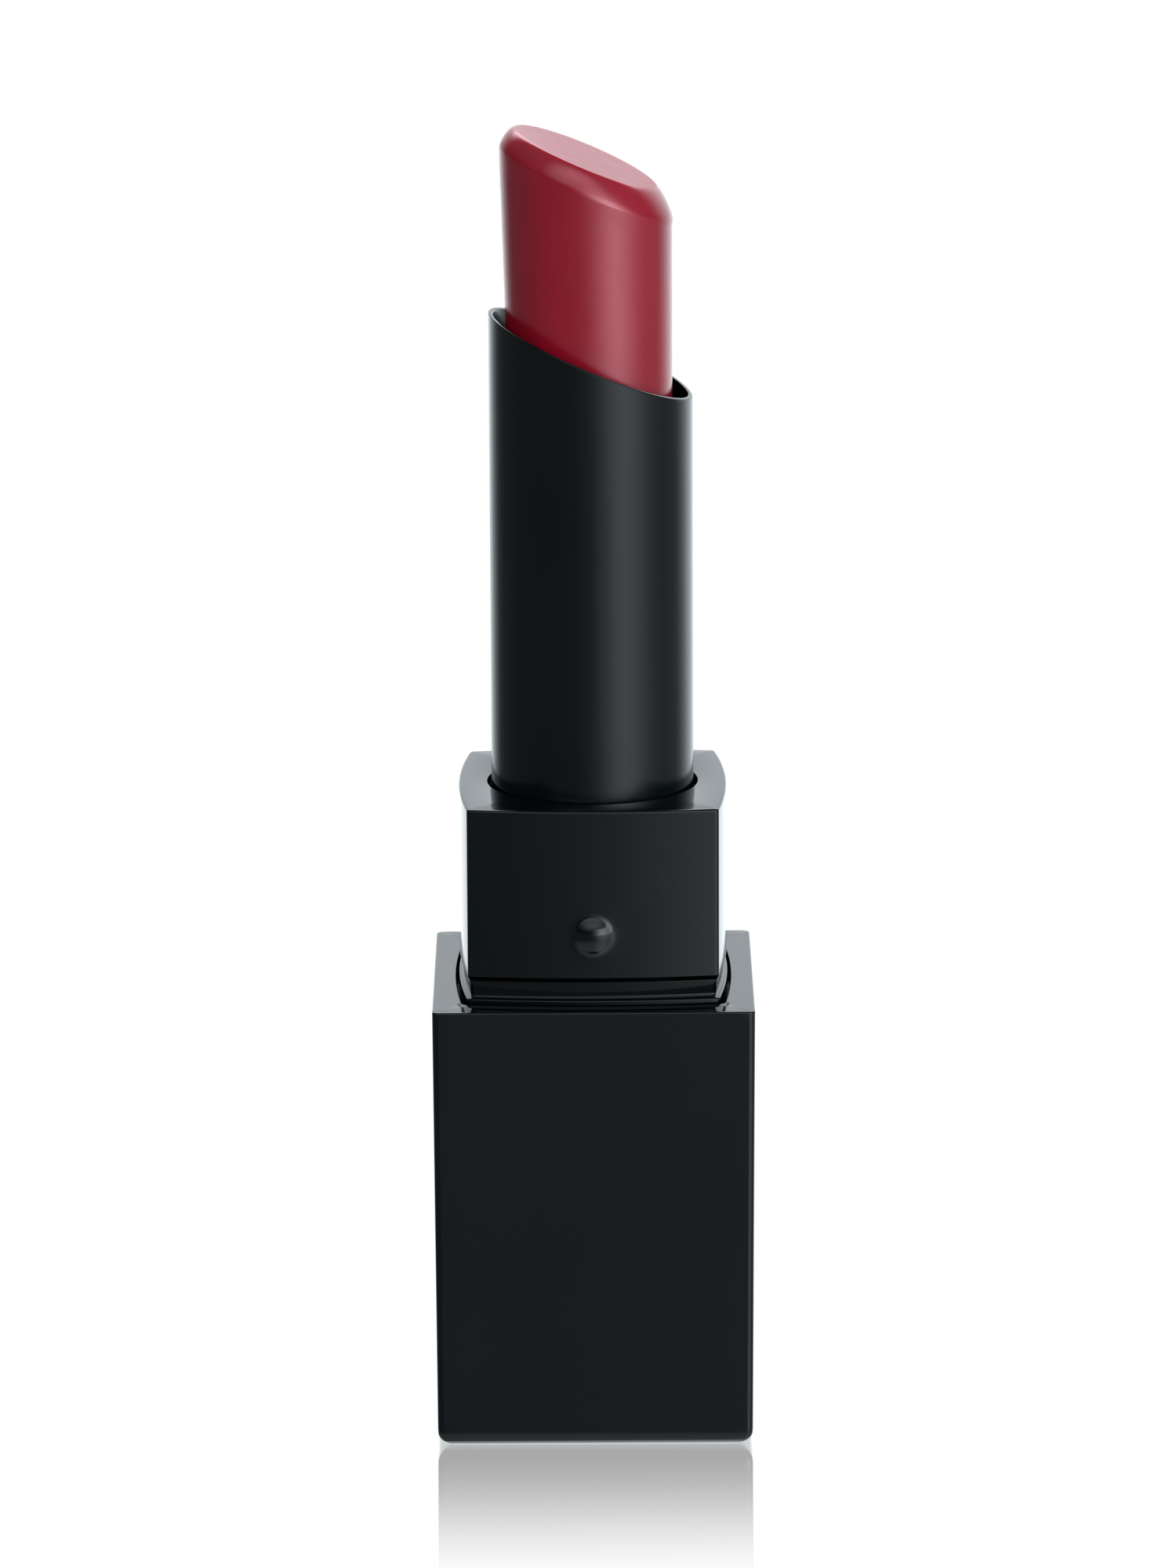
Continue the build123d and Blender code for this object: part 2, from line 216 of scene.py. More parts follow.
def round_over(radius, steps):
    """(inset, drop) pairs round a quarter circle, from the upright wall to the flat top."""
    turns = [math.pi / 2 * i / steps for i in range(steps + 1)]
    return [(radius * (1 - math.cos(a)), radius * (1 - math.sin(a))) for a in turns]


def loft(name, rings, loop=False):
    """A closed mesh through rings of equal length, with its ends capped, or joined in a loop."""
    count = len(rings[0])
    vertices = [point for ring in rings for point in ring]
    faces = []
    last = len(rings) if loop else len(rings) - 1
    for level in range(last):
        lower = level * count
        upper = (level + 1) % len(rings) * count
        for i in range(count):
            j = (i + 1) % count
            faces.append((lower + i, lower + j, upper + j, upper + i))
    if not loop:
        faces.append(tuple(reversed(range(count))))
        faces.append(tuple(range(len(vertices) - count, len(vertices))))
    mesh = bpy.data.meshes.new(name)
    mesh.from_pydata(vertices, [], faces)
    mesh.validate()
    mesh.update()
    piece = bpy.data.objects.new(name, mesh)
    bpy.context.scene.collection.objects.link(piece)
    return piece


# ---------------------------------------------------------------- pieces


def build_base():
    """The base shell: its label recess, rounded foot, tapering walls, rim and mouth."""
    side, corner = 24, 10

    def ring(half, height, bulge=0.0, radius=BASE_CORNER):
        return square_ring(half, bulge, radius, height, side, corner)

    def half_at(height):
        return FOOT_HALF + (BASE_HALF - FOOT_HALF) * height / BASE_HIGH.z

    top = BASE_HIGH.z
    rings = [ring(RECESS_HALF, height, radius=RECESS_CORNER) for height in RECESS_ROWS]
    rings.append(ring(RECESS_HALF + RECESS_EDGE, 0.0, radius=RECESS_CORNER))
    rings.append(ring(FOOT_HALF - FOOT_FLAT_INSET, 0.0, radius=RECESS_CORNER))
    for inset, drop in reversed(round_over(FOOT_RADIUS, steps=10)):
        rings.append(ring(FOOT_HALF - inset, drop))
    for share in WALL_SHARES:
        height = FOOT_RADIUS + (top - RIM_RADIUS - FOOT_RADIUS) * share
        rings.append(ring(half_at(height), height))
    for inset, drop in round_over(RIM_RADIUS, steps=5):
        rings.append(ring(BASE_HALF - inset, top - drop))
    for inset, drop in reversed(round_over(MOUTH_EDGE, steps=4)):
        rings.append(ring(MOUTH_HALF + inset, top - drop, MOUTH_BULGE, MOUTH_CORNER))
    for height in (top - MOUTH_DROP, BASE_FLOOR):
        rings.append(ring(MOUTH_HALF, height, MOUTH_BULGE, MOUTH_CORNER))
    return loft("base_shell_fine", rings)


def build_core():
    """The core that fills the mouth: its body, flange, undercut neck, riser and bore; the riser is
    a dark light stop, added to shade the gap between the neck and the collar.
    """
    side, corner = 48, 8

    def ring(half, height, bulge=COLLAR_BULGE, radius=COLLAR_CORNER):
        return square_ring(half, bulge, radius, height, side, corner)

    body = MOUTH_HALF - CORE_GAP
    rings = [
        ring(body, height, MOUTH_BULGE, MOUTH_CORNER)
        for height in rows(CORE_LOW.z, SHOULDER, CORE_ROWS)
    ]
    rings += [ring(FLANGE_HALF, height) for height in (SHOULDER, SHOULDER + FLANGE_BAND)]
    for inset, drop in round_over(FLANGE_EDGE, steps=6):
        rings.append(ring(FLANGE_HALF - inset, FLANGE_TOP - drop))
    for share in NECK_SHARES:
        height = FLANGE_TOP + (NECK_TOP - FLANGE_TOP) * share
        rings.append(ring(NECK_HALF - NECK_UNDERCUT * (1 - share), height, NECK_BULGE))
    for inset, drop in round_over(NECK_EDGE, steps=3):
        rings.append(ring(NECK_HALF - inset, NECK_TOP - drop, NECK_BULGE))
    lip = ring(NECK_HALF, NECK_TOP, NECK_BULGE)
    # The riser is a dark light stop that puts shade into the gap between the neck and the collar
    rings += [as_circle(lip, CORE_RISER_RADIUS, height) for height in (NECK_TOP, CORE_RISER_TOP)]
    bore = rows(CORE_RISER_TOP, CORE_LOW.z, CORE_ROWS)
    rings += [as_circle(lip, CORE_BORE, height) for height in bore]
    return loft("base_core_fine", rings, loop=True)


def pip_bump(x, z):
    """How far a snap pip stands off the collar at a place on its front or back face."""
    sphere = (PIP_RADIUS**2 + PIP_PROUD**2) / (2 * PIP_PROUD)
    away = math.hypot(x, z - PIP_HEIGHT)
    cap = math.sqrt(max(sphere**2 - away**2, 0.0)) - (sphere - PIP_PROUD)
    return (cap + math.sqrt(cap * cap + PIP_SOFTNESS**2)) / 2 if away < PIP_REACH else 0.0


def with_pips(ring):
    """The ring with its front and back faces raised where the pips are."""
    raised = []
    for x, y, z in ring:
        facing = abs(y) > abs(x)
        rise = pip_bump(x, z) if facing else 0.0
        raised.append((x, y + math.copysign(rise, y), z))
    return raised


def build_collar():
    """The pillow-like collar: a thin shell with two snap pips and a plate with the tube's hole."""
    side, corner = 128, 8

    def ring(inset, height):
        return square_ring(
            COLLAR_HALF - inset, COLLAR_BULGE, COLLAR_CORNER, height, side, corner
        )

    foot, top = COLLAR_LOW.z, COLLAR_HIGH.z
    foot_edge = reversed(round_over(COLLAR_FOOT_EDGE, steps=3))
    rings = [ring(inset, foot + drop) for inset, drop in foot_edge]
    rings += [ring(0.0, foot + height) for height in COLLAR_FOOT_ROWS]
    row = foot + PIP_ROWS_START
    while row < PIP_HEIGHT + PIP_ROWS_ABOVE:
        rings.append(with_pips(ring(0.0, row)))
        row += PIP_ROW
    while row < top - COLLAR_EDGE - COLLAR_TOP_CLEAR:
        rings.append(ring(0.0, row))
        row += COLLAR_ROW
    rings += [ring(0.0, top - COLLAR_EDGE - height) for height in COLLAR_TOP_ROWS]
    rings += [ring(inset, top - drop) for inset, drop in round_over(COLLAR_EDGE, steps=6)]
    lip = ring(0.0, top)
    for inset, drop in reversed(round_over(HOLE_EDGE, steps=4)):
        rings.append(as_circle(lip, HOLE_RADIUS + inset, top - drop))
    ceiling = top - COLLAR_PLATE
    rings.append(as_circle(lip, HOLE_RADIUS, ceiling))
    rings.append(ring(COLLAR_WALL, ceiling))
    rings.append(ring(COLLAR_WALL, foot))
    return loft("collar_shell_fine", rings, loop=True)


def slanted(radius, turn, centre, drop):
    """A point at a radius and a turn, a drop below the slant that crosses the axis at centre."""
    x, y = radius * math.cos(turn), radius * math.sin(turn)
    return (x, y, centre - SLANT * x - drop)


def build_tube():
    """The tube with its slanted, rounded rim, open at both ends."""

    def level(radius, height):
        return [(radius * math.cos(t), radius * math.sin(t), height) for t in TURNS]

    def slanting(radius, drop):
        return [slanted(radius, t, RIM_CENTRE, drop) for t in TURNS]

    heights = [TUBE_LOW.z + i * TUBE_ROW for i in range(TUBE_ROWS)]
    rim = round_over(TUBE_EDGE, steps=5)
    rings = [level(TUBE_OUTER, height) for height in heights]
    rings += [slanting(TUBE_OUTER - inset, drop) for inset, drop in rim]
    rings += [slanting(TUBE_INNER + inset, drop) for inset, drop in reversed(rim)]
    rings += [level(TUBE_INNER, height) for height in reversed(heights)]
    return loft("slant_tube_fine", rings, loop=True)


def bullet_radius(height):
    """The bullet flares a little from its root to its head."""
    share = (height - CUP_HIGH.z) / (FLARE_TOP - CUP_HIGH.z)
    return BULLET_ROOT + (BULLET_HEAD - BULLET_ROOT) * min(max(share, 0.0), 1.0)


def bevel_steps(steps):
    """(share inwards, share upwards) along the bevel: three bends in a row, without a kink.

    The first rounds it out of the wall, the second crowns it a little, the third rounds it into
    the facet.
    """

    def bend(start, corner, end):
        return [
            tuple(
                (1 - t) ** 2 * a + 2 * t * (1 - t) * b + t * t * c
                for a, b, c in zip(start, corner, end)
            )
            for t in (i / steps for i in range(steps + 1))
        ]

    across, up = BEVEL_CROWN
    foot = (BEVEL_FOOT_SHARE * across, BEVEL_FOOT_SHARE * up)
    head = (across + BEVEL_HEAD_SHARE * (1 - across), up + BEVEL_HEAD_SHARE * (1 - up))
    below = bend(BEVEL_START, (0.0, 0.0), foot)
    above = bend(head, (1.0, 1.0), BEVEL_END)
    return below[:-1] + bend(foot, BEVEL_CROWN, head)[:-1] + above


def build_bullet():
    """The raised bullet: a wall that flares and leans, a crowned bevel and a slanted facet."""

    def lean(point):
        x, y, z = point
        share = max(z - CUP_HIGH.z, 0.0) / (FLARE_TOP - CUP_HIGH.z)
        return (x + BULLET_LEAN * share, y, z)

    def wall(share):
        """A ring between the root, share 0, and the foot of the bevel, share 1."""
        ring = []
        for t in TURNS:
            top = slanted(BULLET_HEAD, t, FACET_CENTRE, BEVEL_DROP)[2]
            height = CUP_HIGH.z + (top - CUP_HIGH.z) * share
            radius = bullet_radius(height)
            ring.append(lean((radius * math.cos(t), radius * math.sin(t), height)))
        return ring

    def bevel(inwards, upwards):
        ring = []
        for t in TURNS:
            facet = 1 / math.hypot(math.cos(t) / FACET_HALF_X, math.sin(t) / FACET_HALF_Y)
            radius = BULLET_HEAD + (facet - BULLET_HEAD) * inwards
            ring.append(lean(slanted(radius, t, FACET_CENTRE, BEVEL_DROP * (1 - upwards))))
        return ring

    rings = [[(BULLET_ROOT * math.cos(t), BULLET_ROOT * math.sin(t), BULLET_LOW.z) for t in TURNS]]
    rings += [wall(i / BULLET_ROWS) for i in range(BULLET_ROWS)]
    rings += [bevel(inwards, upwards) for inwards, upwards in bevel_steps(BEVEL_STEPS)]
    edge = rings[-1]
    middle = Vector(slanted(0.0, 0.0, FACET_CENTRE, 0.0)) + Vector((BULLET_LEAN, 0, 0))
    for share in FACET_SHARES:
        rings.append([tuple(middle + (Vector(point) - middle) * share) for point in edge])
    return loft("lipstick_bullet_fine", rings)


# ---------------------------------------------------------------- shader nodes

# The usual range of a noise value
NOISE_SPAN = (0.3, 0.7)


def scaled(colour, factor):
    return tuple(channel * factor for channel in colour)


def new_material(name):
    """A material with its tree, shader and object coordinates ready."""
    material = bpy.data.materials.new(name)
    material.use_nodes = True
    tree = material.node_tree
    shader = tree.nodes["Principled BSDF"]
    place = tree.nodes.new("ShaderNodeTexCoord").outputs["Object"]
    return material, tree, shader, place


def math_node(tree, operation, first, second=None, third=None):
    """One Math node; each argument is a socket or a number."""
    node = tree.nodes.new("ShaderNodeMath")
    node.operation = operation
    for index, value in enumerate((first, second, third)):
        if value is None:
            continue
        if isinstance(value, (int, float)):
            node.inputs[index].default_value = value
        else:
            tree.links.new(value, node.inputs[index])
    return node.outputs[0]


def split_xyz(tree, vector):
    """The x, y and z sockets of a vector socket."""
    node = tree.nodes.new("ShaderNodeSeparateXYZ")
    tree.links.new(vector, node.inputs["Vector"])
    return node.outputs["X"], node.outputs["Y"], node.outputs["Z"]


def remap(tree, value, span, to_low, to_high, interpolation="LINEAR"):
    """The value moved from its span onto to_low to to_high, and held there outside the span."""
    node = tree.nodes.new("ShaderNodeMapRange")
    node.interpolation_type = interpolation
    node.inputs["From Min"].default_value, node.inputs["From Max"].default_value = span
    node.inputs["To Min"].default_value = to_low
    node.inputs["To Max"].default_value = to_high
    tree.links.new(value, node.inputs["Value"])
    return node.outputs["Result"]


def smooth_between(tree, value, span, to_low=0.0, to_high=1.0):
    return remap(tree, value, span, to_low, to_high, "SMOOTHSTEP")


def spread(tree, value, low, high):
    """A noise value stretched from its usual range onto low to high."""
    return remap(tree, value, NOISE_SPAN, low, high)


def noise(tree, place, scale, detail, stretch=None):
    """A noise value over object space; scale is in cycles per metre, stretch scales the axes."""
    if stretch:
        mapping = tree.nodes.new("ShaderNodeMapping")
        mapping.inputs["Scale"].default_value = stretch
        tree.links.new(place, mapping.inputs["Vector"])
        place = mapping.outputs["Vector"]
    texture = tree.nodes.new("ShaderNodeTexNoise")
    texture.inputs["Scale"].default_value = scale
    texture.inputs["Detail"].default_value = detail
    tree.links.new(place, texture.inputs["Vector"])
    return texture.outputs["Fac"]


def tint(tree, shader, value, dark, light):
    """The shader's colour between two, by a noise value's usual range."""
    ramp = tree.nodes.new("ShaderNodeValToRGB")
    for element, position, colour in zip(ramp.color_ramp.elements, NOISE_SPAN, (dark, light)):
        element.position = position
        element.color = (*colour, 1)
    tree.links.new(value, ramp.inputs["Fac"])
    tree.links.new(ramp.outputs["Color"], shader.inputs["Base Color"])


def bump(tree, shader, value, depth, strength, under=None):
    """Relief of a depth in metres, chained on any relief under it."""
    node = tree.nodes.new("ShaderNodeBump")
    node.inputs["Strength"].default_value = strength
    node.inputs["Distance"].default_value = depth
    tree.links.new(value, node.inputs["Height"])
    if under:
        tree.links.new(under, node.inputs["Normal"])
    tree.links.new(node.outputs["Normal"], shader.inputs["Normal"])
    return node.outputs["Normal"]


# ---------------------------------------------------------------- materials

TUBE_IOR = 1.47
WAX_DARK = (0.195, 0.002, 0.01)
WAX_LIGHT = (0.235, 0.004, 0.015)
WAX_SHEEN = (1.0, 0.54, 0.6, 1)
WAX_IOR = 1.66
WAX_ROUGHNESS = (0.18, 0.24)
# The cut face is rougher than the wall, from a first depth under its plane to a full one
CUT_ROUGHNESS = 0.2
CUT_START = 0.025 * MM
CUT_FULL = 0.005 * MM


def plastic(name, colour, roughness, grain=0.0015, variation=0.2, ior=1.5):
    """Moulded or lacquered plastic: faint orange peel, handling haze and slight colour drift.

    The grain is the peel's depth in millimetres.
    """
    material, tree, shader, place = new_material(name)
    drift = noise(tree, place, scale=90.0, detail=3.0)
    tint(tree, shader, drift, scaled(colour, 1 - variation), scaled(colour, 1 + variation))
    haze = noise(tree, place, scale=420.0, detail=6.0)
    gloss = spread(tree, haze, roughness * 0.8, roughness * 1.25)
    tree.links.new(gloss, shader.inputs["Roughness"])
    shader.inputs["IOR"].default_value = ior
    peel = noise(tree, place, scale=1400.0, detail=2.0)
    bump(tree, shader, peel, depth=grain * MM, strength=0.6)
    return material


def lacquered_tube(name, colour, roughness):
    """Black lacquer on a drawn tube: very fine draw lines along the axis under a satin coat."""
    material, tree, shader, place = new_material(name)
    drift = noise(tree, place, scale=70.0, detail=3.0)
    tint(tree, shader, drift, scaled(colour, 0.8), scaled(colour, 1.25))
    lines = noise(tree, place, scale=2200.0, detail=3.0, stretch=(1, 1, 0.02))
    gloss = spread(tree, lines, roughness * 0.85, roughness * 1.2)
    tree.links.new(gloss, shader.inputs["Roughness"])
    shader.inputs["IOR"].default_value = TUBE_IOR
    drawn = bump(tree, shader, lines, depth=0.0006 * MM, strength=0.5)
    peel = noise(tree, place, scale=1100.0, detail=2.0)
    bump(tree, shader, peel, depth=0.0012 * MM, strength=0.5, under=drawn)
    return material


def wax(name):
    """Rose-red cosmetic wax: satin, with mould flow in the colour and fine sweat in the gloss."""
    material, tree, shader, place = new_material(name)
    flow = noise(tree, place, scale=260.0, detail=4.0, stretch=(1, 1, 0.35))
    tint(tree, shader, flow, WAX_DARK, WAX_LIGHT)
    shader.inputs["IOR"].default_value = WAX_IOR
    shader.inputs["Specular IOR Level"].default_value = 1.0
    shader.inputs["Specular Tint"].default_value = WAX_SHEEN
    sweat = noise(tree, place, scale=900.0, detail=3.0)
    gloss = spread(tree, sweat, *WAX_ROUGHNESS)
    x, _, z = split_xyz(tree, place)
    up_slope = math_node(tree, "MULTIPLY_ADD", x, SLANT, z)
    plane = FACET_CENTRE + SLANT * BULLET_LEAN
    cut_span = (plane - CUT_START, plane - CUT_FULL)
    cut = smooth_between(tree, up_slope, cut_span, 0.0, CUT_ROUGHNESS)
    tree.links.new(math_node(tree, "ADD", gloss, cut), shader.inputs["Roughness"])
    waves = noise(tree, place, scale=400.0, detail=2.0)
    grain = noise(tree, place, scale=1500.0, detail=1.0)
    soft = bump(tree, shader, waves, depth=0.004 * MM, strength=0.3)
    bump(tree, shader, grain, depth=0.001 * MM, strength=0.3, under=soft)
    return material


def metal(name, colour, roughness, stretch):
    """Worked steel: brushed or tumbled lines, uneven polish and slight tarnish."""
    material, tree, shader, place = new_material(name)
    tarnish = noise(tree, place, scale=150.0, detail=5.0)
    tint(tree, shader, tarnish, scaled(colour, 0.75), colour)
    shader.inputs["Metallic"].default_value = 1.0
    lines = noise(tree, place, scale=1600.0, detail=5.0, stretch=stretch)
    gloss = spread(tree, lines, roughness * 0.7, roughness * 1.3)
    tree.links.new(gloss, shader.inputs["Roughness"])
    bump(tree, shader, lines, depth=0.002 * MM, strength=0.6)
    return material


def cellular(name, colour, scale, depth, roughness):
    """Foam or soft rubber: a cell texture with matte shading."""
    material, tree, shader, place = new_material(name)
    cells = tree.nodes.new("ShaderNodeTexVoronoi")
    cells.inputs["Scale"].default_value = scale
    tree.links.new(place, cells.inputs["Vector"])
    shade = noise(tree, place, scale * 0.3, detail=4.0)
    tint(tree, shader, shade, scaled(colour, 0.7), scaled(colour, 1.3))
    shader.inputs["Roughness"].default_value = roughness
    bump(tree, shader, cells.outputs["Distance"], depth, strength=0.7)
    return material


MATERIALS = {
    "satin_black": plastic("satin_black", (0.0012, 0.0034, 0.005), roughness=0.075),
    "collar_black": plastic("collar_black", (0.0012, 0.0034, 0.005), roughness=0.085),
    "gloss_black": plastic("gloss_black", (0.001, 0.002, 0.003), roughness=0.08, ior=1.42),
    "tube_black": lacquered_tube("tube_black", (0.0012, 0.0034, 0.004), roughness=0.195),
    "moulded_black": plastic(
        "moulded_black", (0.008, 0.008, 0.009), roughness=0.35, grain=0.004, variation=0.15
    ),
    "moulded_grey": plastic(
        "moulded_grey", (0.18, 0.19, 0.2), roughness=0.42, grain=0.004, variation=0.08
    ),
    "moulded_white": plastic(
        "moulded_white", (0.75, 0.74, 0.7), roughness=0.4, grain=0.004, variation=0.04
    ),
    "slip_plastic": plastic(
        "slip_plastic", (0.85, 0.84, 0.8), roughness=0.5, grain=0.003, variation=0.04
    ),
    "soft_rubber": cellular(
        "soft_rubber", (0.02, 0.02, 0.021), scale=4000.0, depth=0.003 * MM, roughness=0.6
    ),
    "foam": cellular("foam", (0.05, 0.05, 0.052), scale=2200.0, depth=0.06 * MM, roughness=0.9),
    "spring_steel": metal("spring_steel", (0.56, 0.55, 0.54), roughness=0.3, stretch=(1, 1, 8)),
    "weight_steel": metal("weight_steel", (0.6, 0.6, 0.6), roughness=0.38, stretch=(1, 6, 1)),
    "label_film": plastic(
        "label_film", (0.78, 0.78, 0.75), roughness=0.45, grain=0.006, variation=0.03
    ),
    "rose_wax": wax("rose_wax"),
}

# How strongly the face areas steer the normals, so that flats stay flat beside rounded edges
FLATS_WEIGHT = 70


def finish_piece(piece, body, slot, *replaced):
    """Smooth shading that keeps flats flat, the material, and the piece's place in the frame."""
    for face in piece.data.polygons:
        face.use_smooth = True
    weighted = piece.modifiers.new("flats", "WEIGHTED_NORMAL")
    weighted.mode = "FACE_AREA"
    weighted.weight = FLATS_WEIGHT
    piece.data.materials.append(MATERIALS[slot])
    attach(piece, body)
    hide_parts(*replaced)


for part in frame["record"]["subparts"]:
    cad = nodes[part["node"]]
    cad.data.materials.clear()
    cad.data.materials.append(MATERIALS[part["material_slot"]])

finish_piece(build_base(), "base", "satin_black", "base_shell")
finish_piece(build_core(), "base", "gloss_black", "base_core")
finish_piece(build_collar(), "barrel", "collar_black", "collar_shell")
finish_piece(build_tube(), "barrel", "tube_black", "slant_tube")
finish_piece(build_bullet(), "carrier", "rose_wax", "lipstick_bullet")


# ---------------------------------------------------------------- studio

WHITE = (1, 1, 1, 1)
STUDIO_TINT = (0.92, 1.0, 1.04)

# Every span below is a range of one part of a direction, its height z unless another part is named

# Key light at the right: a tall lobe, and a wider one that only lights diffuse surfaces
KEY_AZIMUTH = math.radians(39.0)
KEY_LOW = 1.27
KEY_TIGHTNESS = 9.5
KEY_BOUNCE = 2.1
KEY_BOUNCE_TIGHTNESS = 3.0

# Panel at the right, seen in the bullet and the tube
PANEL_AZIMUTH = math.radians(36.0)
PANEL = 3.6
PANEL_TIGHTNESS = 12.0
PANEL_FOOT = (-0.13, -0.02)
PANEL_TOP = (0.2, 0.36)

# White sweep behind, at three heights; its width is a span of a cosine, its overhead depth one of y
SWEEP_AZIMUTH = math.radians(9.0)
SWEEP_WIDTH = (0.47, 1.0)
SWEEP_LOW = 1.42
SWEEP_BAND = 1.2
SWEEP_BAND_TOP = (0.34, 0.5)
SWEEP_HIGH = 3.7
SWEEP_HIGH_DEPTH = (0.15, 0.5)

# Dim fill in front, a little brighter to the right and at the far right; spans of the sideways part
FILL_LEFT = 0.14
FILL_RIGHT = 0.165
FILL_WIDTH = (-0.6, 0.1)
FILL_SIDE = 0.16
FILL_SIDE_WIDTH = (0.75, 0.98)
FILL_ABOVE = 0.4
FRONT_FADE = (-0.6, -0.2)
FRONT_FADED = 0.45

# Light from the floor, for glossy and for diffuse surfaces
GROUND = 0.42
GROUND_BOUNCE = 0.12
GROUND_FADE = (-0.65, -0.32)

# Dim dome above with a softbox towards the camera, and more of it for diffuse surfaces; a span of y
DOME = 0.12
DOME_RISE = (0.12, 0.56)
SOFTBOX = 1.35
SOFTBOX_DEPTH = (-0.88, -0.55)
OVERHEAD_BOUNCE = 1.4

# Where the low lights give way to the high ones
HORIZON = (-0.08, 0.04)

# Keeps the level part of a straight up or down direction from being zero
LEAST_LEVEL = 0.001

FLOOR_RADIUS = 900 * MM
FLOOR_POINTS = 96
FLOOR_GAP = 0.02 * MM
MIRROR_AT_FOOT = 0.62
MIRROR_REACH = 29 * MM


def build_world():
    """White for the camera and for the floor's mirror, and a studio for every other ray.

    The studio is dark in front with a white sweep behind, a key light and a panel at the right and
    a softbox above. Directions are split into azimuth, by their level parts, and height, by z.
    """
    world = bpy.data.worlds.new("studio")
    bpy.context.scene.world = world
    world.use_nodes = True
    tree = world.node_tree
    tree.nodes.clear()

    def times(first, second):
        return math_node(tree, "MULTIPLY", first, second)

    def plus(first, second):
        return math_node(tree, "ADD", first, second)

    def blend(first, second, share):
        return plus(first, times(share, math_node(tree, "SUBTRACT", second, first)))

    def background(colour):
        node = tree.nodes.new("ShaderNodeBackground")
        node.inputs["Color"].default_value = colour
        return node

    x, y, z = split_xyz(tree, tree.nodes.new("ShaderNodeTexCoord").outputs["Generated"])
    level = math_node(tree, "SQRT", plus(times(x, x), times(y, y)))
    level = math_node(tree, "MAXIMUM", level, LEAST_LEVEL)
    backwards = math_node(tree, "DIVIDE", y, level)
    sideways = math_node(tree, "DIVIDE", x, level)

    def along(azimuth):
        """Cosine of the level angle from an azimuth, which is 0 in front and grows to the right."""
        return plus(times(sideways, math.sin(azimuth)), times(backwards, -math.cos(azimuth)))

    def lobe(azimuth, tightness):
        facing = math_node(tree, "MAXIMUM", along(azimuth), 0.0)
        return math_node(tree, "POWER", facing, tightness)

    rays = tree.nodes.new("ShaderNodeLightPath").outputs
    diffuse = rays["Is Diffuse Ray"]

    sweep = smooth_between(tree, along(math.pi - SWEEP_AZIMUTH), SWEEP_WIDTH)
    fill = plus(
        smooth_between(tree, sideways, FILL_WIDTH, FILL_LEFT, FILL_RIGHT),
        smooth_between(tree, sideways, FILL_SIDE_WIDTH, 0.0, FILL_SIDE),
    )
    side = times(times(lobe(KEY_AZIMUTH, KEY_BOUNCE_TIGHTNESS), KEY_BOUNCE), diffuse)
    key = plus(times(lobe(KEY_AZIMUTH, KEY_TIGHTNESS), KEY_LOW), side)

    front = times(plus(fill, key), smooth_between(tree, z, FRONT_FADE, FRONT_FADED, 1.0))
    bounce = math_node(tree, "MULTIPLY_ADD", diffuse, GROUND_BOUNCE - GROUND, GROUND)
    ground = times(smooth_between(tree, z, GROUND_FADE, 1.0, 0.0), bounce)
    low = plus(plus(front, ground), times(sweep, SWEEP_LOW))

    horizon = plus(times(fill, FILL_ABOVE), side)
    softbox = smooth_between(tree, y, SOFTBOX_DEPTH, SOFTBOX, DOME)
    dome = plus(softbox, times(diffuse, OVERHEAD_BOUNCE))
    front_sky = blend(horizon, dome, smooth_between(tree, z, DOME_RISE))
    overhead = times(smooth_between(tree, y, SWEEP_HIGH_DEPTH), SWEEP_HIGH)
    band = blend(SWEEP_BAND, overhead, smooth_between(tree, z, SWEEP_BAND_TOP))
    high = plus(front_sky, times(sweep, band))

    panel_foot = smooth_between(tree, z, PANEL_FOOT)
    panel_top = smooth_between(tree, z, PANEL_TOP, 1.0, 0.0)
    panel = times(times(lobe(PANEL_AZIMUTH, PANEL_TIGHTNESS), PANEL), times(panel_foot, panel_top))
    strength = plus(blend(low, high, smooth_between(tree, z, HORIZON)), panel)

    studio = background((*STUDIO_TINT, 1))
    tree.links.new(strength, studio.inputs["Strength"])
    backdrop = background(WHITE)
    mix = tree.nodes.new("ShaderNodeMixShader")
    seen = math_node(tree, "MAXIMUM", rays["Is Camera Ray"], rays["Is Singular Ray"])
    tree.links.new(seen, mix.inputs["Fac"])
    tree.links.new(studio.outputs[0], mix.inputs[1])
    tree.links.new(backdrop.outputs[0], mix.inputs[2])
    output = tree.nodes.new("ShaderNodeOutputWorld")
    tree.links.new(mix.outputs[0], output.inputs["Surface"])


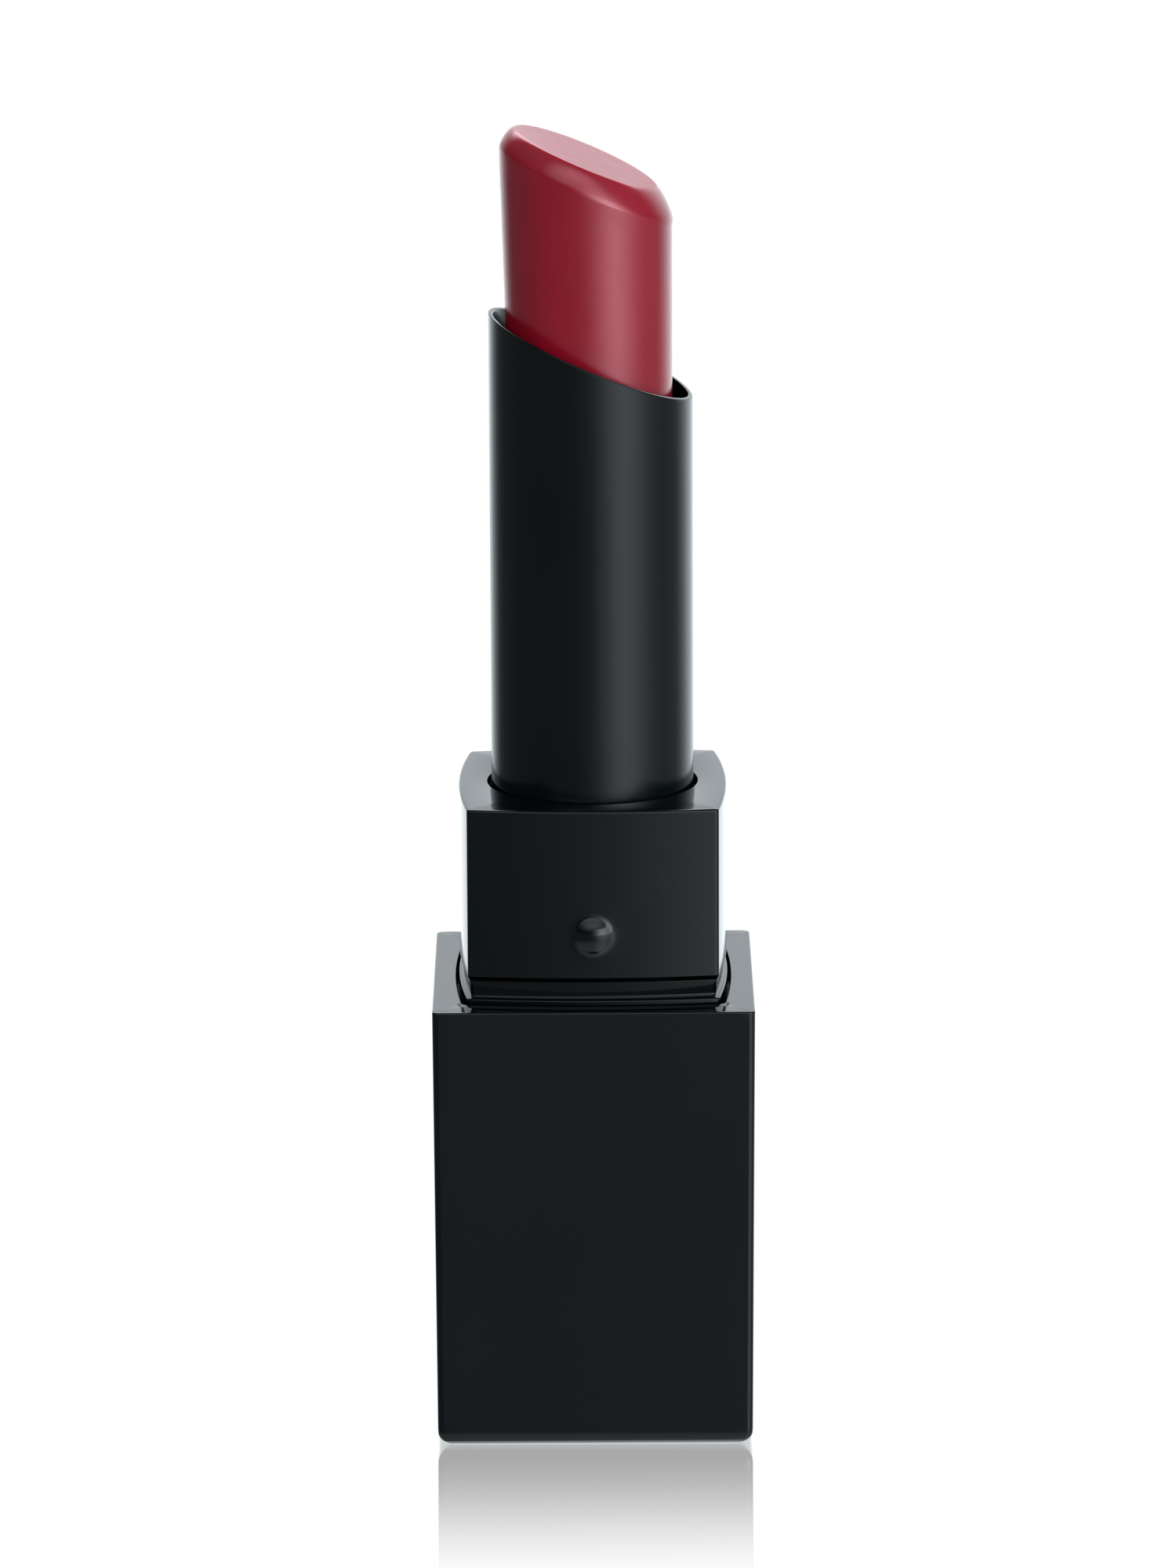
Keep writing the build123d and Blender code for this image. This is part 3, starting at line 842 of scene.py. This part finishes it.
def build_floor():
    """A white floor whose sharp mirror fades with the distance from the foot.

    Only the camera sees it, so that the studio alone lights the case.
    """
    turns = [2 * math.pi * i / FLOOR_POINTS for i in range(FLOOR_POINTS)]
    ring = [(FLOOR_RADIUS * math.cos(t), FLOOR_RADIUS * math.sin(t), 0.0) for t in turns]
    mesh = bpy.data.meshes.new("floor")
    mesh.from_pydata(ring, [], [tuple(range(FLOOR_POINTS))])
    floor = bpy.data.objects.new("floor", mesh)
    bpy.context.scene.collection.objects.link(floor)
    floor.location.z = BASE_LOW.z - FLOOR_GAP
    floor.visible_glossy = False
    floor.visible_diffuse = False

    material = bpy.data.materials.new("floor")
    material.use_nodes = True
    tree = material.node_tree
    tree.nodes.clear()
    x, y, _ = split_xyz(tree, tree.nodes.new("ShaderNodeTexCoord").outputs["Object"])
    reach = math_node(
        tree, "MAXIMUM", math_node(tree, "ABSOLUTE", x), math_node(tree, "ABSOLUTE", y)
    )
    polished = (FOOT_HALF, FOOT_HALF + MIRROR_REACH)
    polish = smooth_between(tree, reach, polished, MIRROR_AT_FOOT, 0.0)
    pale = tree.nodes.new("ShaderNodeEmission")
    pale.inputs["Color"].default_value = WHITE
    pale.inputs["Strength"].default_value = 1.0
    mirror = tree.nodes.new("ShaderNodeBsdfGlossy")
    mirror.inputs["Color"].default_value = WHITE
    mirror.inputs["Roughness"].default_value = 0.0
    mix = tree.nodes.new("ShaderNodeMixShader")
    tree.links.new(polish, mix.inputs["Fac"])
    tree.links.new(pale.outputs[0], mix.inputs[1])
    tree.links.new(mirror.outputs[0], mix.inputs[2])
    output = tree.nodes.new("ShaderNodeOutputMaterial")
    tree.links.new(mix.outputs[0], output.inputs["Surface"])
    floor.data.materials.append(material)


# ---------------------------------------------------------------- camera

LENS = 208.15
SENSOR = 36.0
CLIP_START = 10 * MM
CAMERA_PITCH = math.radians(13.75)
CAMERA_ROLL = math.radians(0.27)
CAMERA_DISTANCE = 584.06 * MM
CAMERA_AIM = Vector((-0.29 * MM, 0.0, 41.55 * MM))


def build_camera():
    """The photo's camera: a long lens that looks down at the front."""
    data = bpy.data.cameras.new("camera")
    data.lens = LENS
    data.sensor_width = SENSOR
    data.clip_start = CLIP_START
    camera = bpy.data.objects.new("camera", data)
    bpy.context.scene.collection.objects.link(camera)
    looking = Vector((0, math.cos(CAMERA_PITCH), -math.sin(CAMERA_PITCH)))
    camera.location = CAMERA_AIM - looking * CAMERA_DISTANCE
    camera.rotation_mode = "QUATERNION"
    camera.rotation_quaternion = Quaternion(looking, CAMERA_ROLL) @ looking.to_track_quat("-Z", "Y")
    bpy.context.scene.camera = camera


build_world()
build_floor()
build_camera()
bpy.context.scene.view_settings.view_transform = "Standard"
